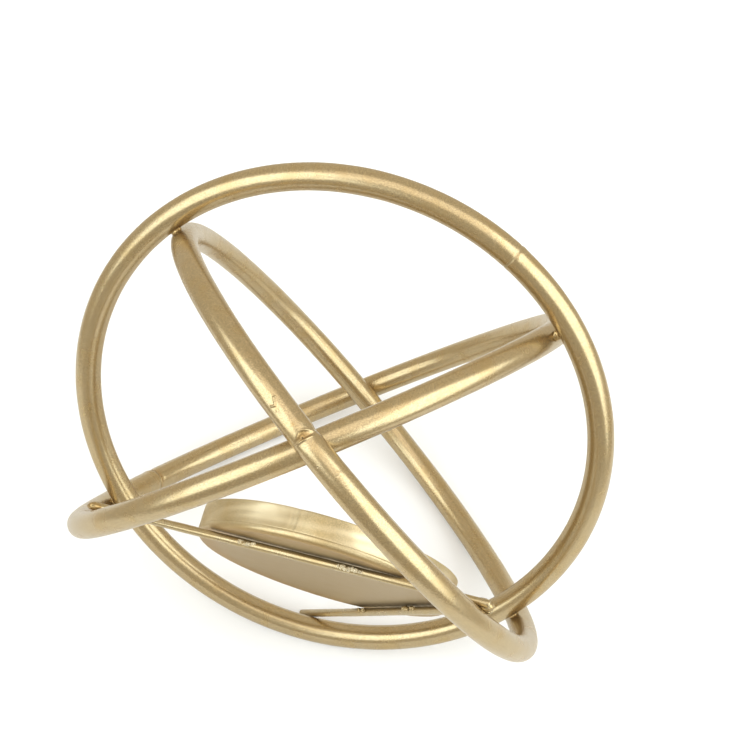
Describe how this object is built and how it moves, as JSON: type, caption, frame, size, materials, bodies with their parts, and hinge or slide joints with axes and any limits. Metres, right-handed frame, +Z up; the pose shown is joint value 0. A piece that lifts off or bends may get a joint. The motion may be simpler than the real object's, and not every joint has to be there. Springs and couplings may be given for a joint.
{
  "type": "candle holder",
  "caption": "Open orb candle holder: crossed round-rod rings leaning around a shallow level tray held on two wires, all welded and painted satin gold.",
  "frame": {"origin": "middle of the base of the bounding box, on the table under the rings", "axes": "+Z up out of the candle tray's mouth, +Y towards the rear ring's low point, +X to the right"},
  "size_m": [0.105, 0.104, 0.0745],
  "materials": {
    "rod": "satin metallic gold paint on round iron rod",
    "wire": "satin metallic gold paint on thin iron wire",
    "tray_sheet": "satin metallic gold paint on thin steel sheet",
    "weld": "gold paint over weld metal, slightly rough"
  },
  "bodies": {
    "root": {"ring_rear": "rod", "ring_right": "rod", "ring_left": "rod", "butt_weld_rear": "weld", "butt_weld_right": "weld", "butt_weld_left": "weld", "weld_rear_right_top": "weld", "weld_rear_right_base": "weld", "weld_rear_left_top": "weld", "weld_rear_left_base": "weld", "weld_left_right_top": "weld", "weld_left_right_base": "weld", "support_wire_front": "wire", "support_wire_side": "wire", "wire_weld_left": "weld", "wire_weld_rear": "weld", "wire_weld_right": "weld", "tray_floor": "tray_sheet", "tray_band": "tray_sheet", "tray_seam_weld": "weld", "tack_front_left": "weld", "tack_front_right": "weld", "tack_side_rear": "weld", "tack_side_front": "weld"}
  },
  "joints": []
}
